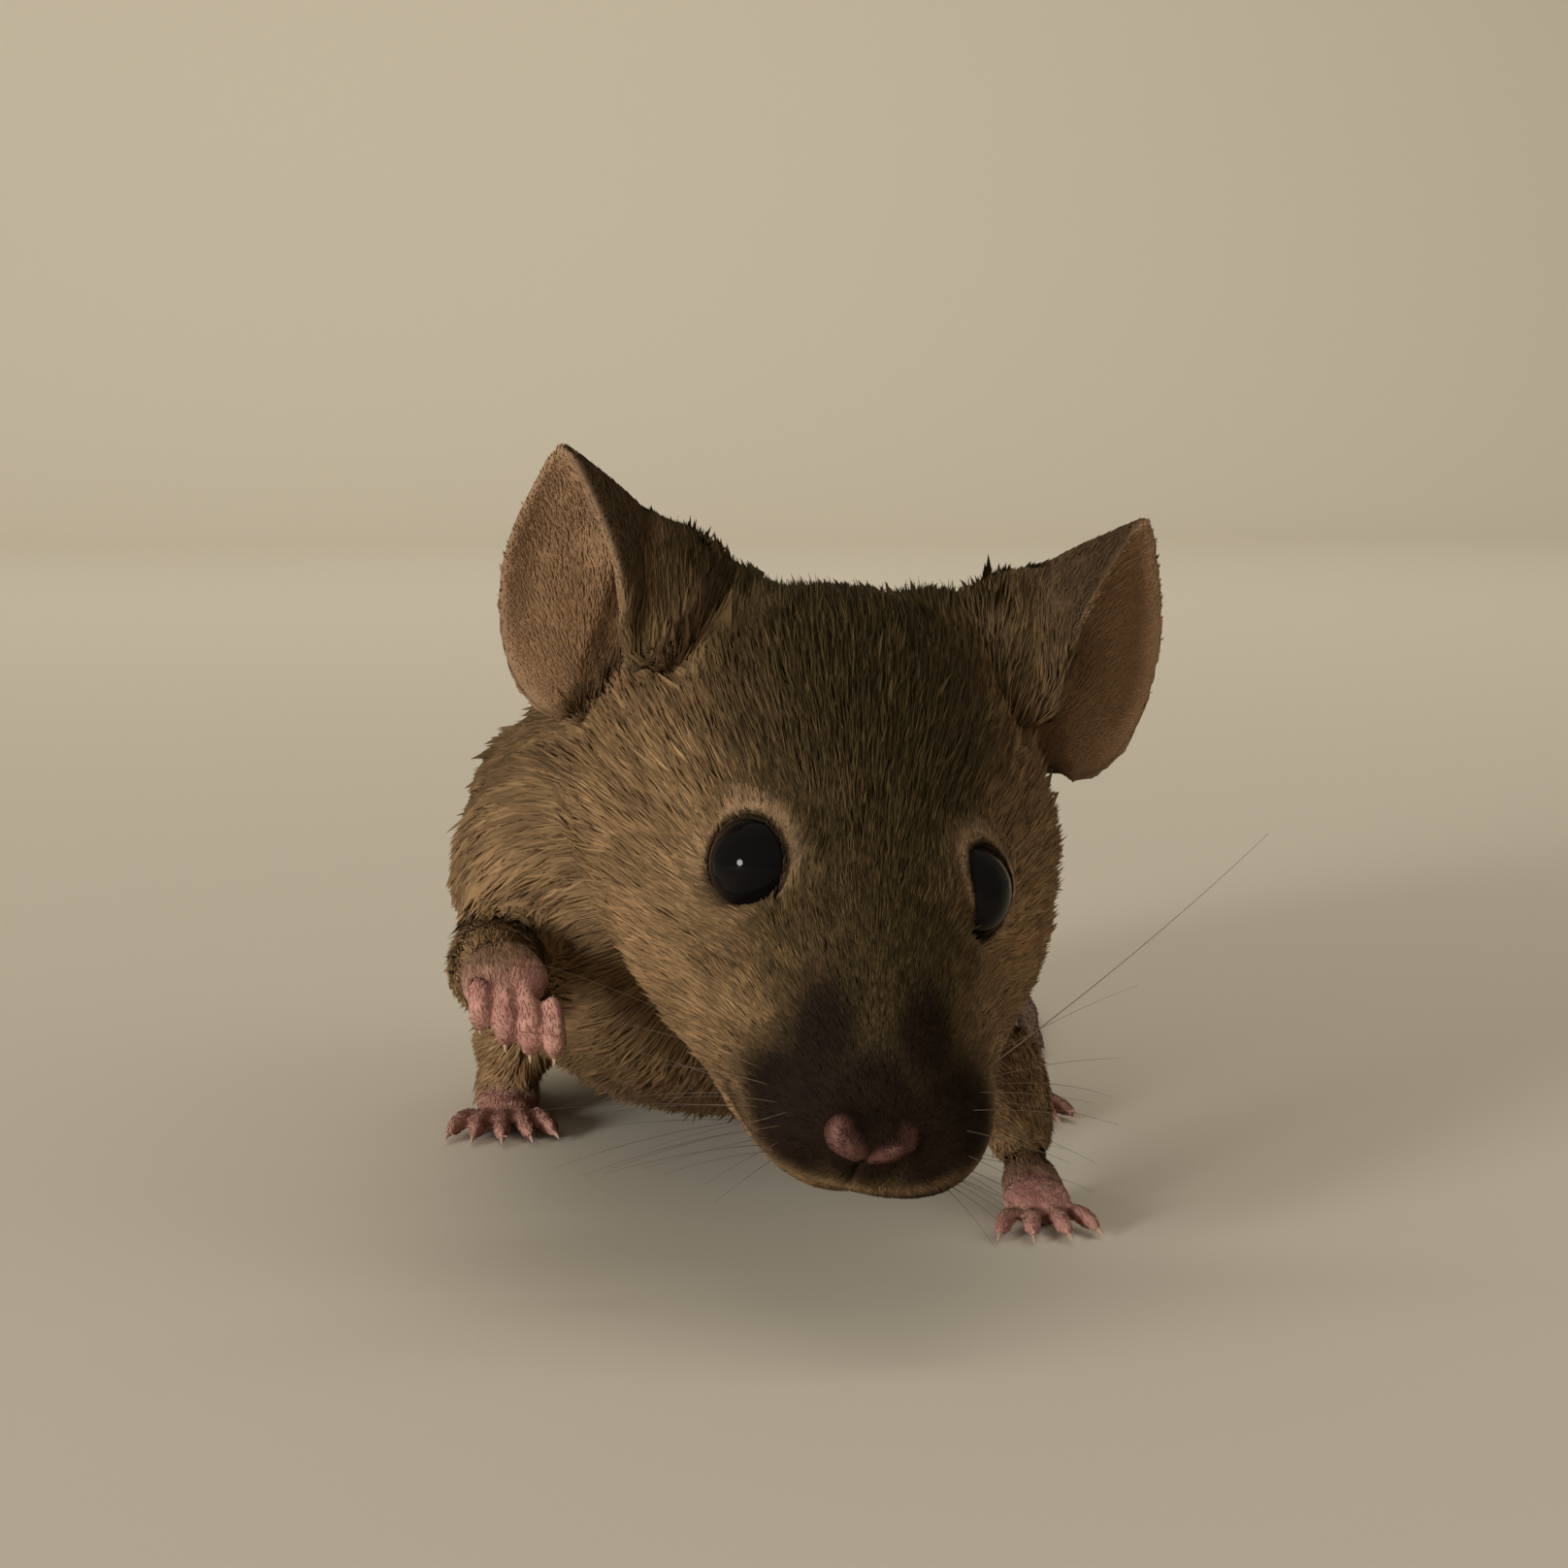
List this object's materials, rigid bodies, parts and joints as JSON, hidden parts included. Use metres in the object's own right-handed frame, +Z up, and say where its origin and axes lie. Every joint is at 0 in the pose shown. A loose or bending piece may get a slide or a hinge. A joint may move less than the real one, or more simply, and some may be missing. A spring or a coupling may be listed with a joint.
{
  "type": "house mouse model",
  "caption": "Still life-size model of a young house mouse crouched on the floor, head lowered, one forepaw lifted beside the chin.",
  "frame": {"origin": "centre of the bounding box's bottom face, on the floor under the mouse", "axes": "+Z up, the mouse faces -Y, its left side is +X"},
  "size_m": [0.036, 0.0806, 0.0326],
  "materials": {
    "fur_dark": "short dense agouti fur, dark olive brown with paler tips",
    "fur_tan": "short dense fur, warm tan brown",
    "ear_skin": "thin skin under very short sparse hair",
    "bare_skin": "bare pink skin of nose and paws",
    "tail_skin": "finely ringed tail skin with sparse short hair",
    "eye": "glossy black eye"
  },
  "bodies": {
    "root": {"head": "fur_dark", "lower_jaw": "fur_tan", "nose": "bare_skin", "eye_left": "eye", "eye_right": "eye", "ear_left": "ear_skin", "ear_right": "ear_skin", "neck": "fur_dark", "chest": "fur_dark", "belly": "fur_dark", "foreleg_upper_left": "fur_tan", "foreleg_upper_right": "fur_tan", "foreleg_lower_left": "fur_dark", "foreleg_lower_right": "fur_dark", "forepaw_left": "bare_skin", "forepaw_right": "bare_skin", "thigh_left": "fur_tan", "thigh_right": "fur_tan", "shank_left": "fur_tan", "shank_right": "fur_tan", "hind_foot_left": "bare_skin", "hind_foot_right": "bare_skin", "tail_base": "tail_skin", "tail_middle": "tail_skin", "tail_tip": "tail_skin"}
  },
  "joints": []
}
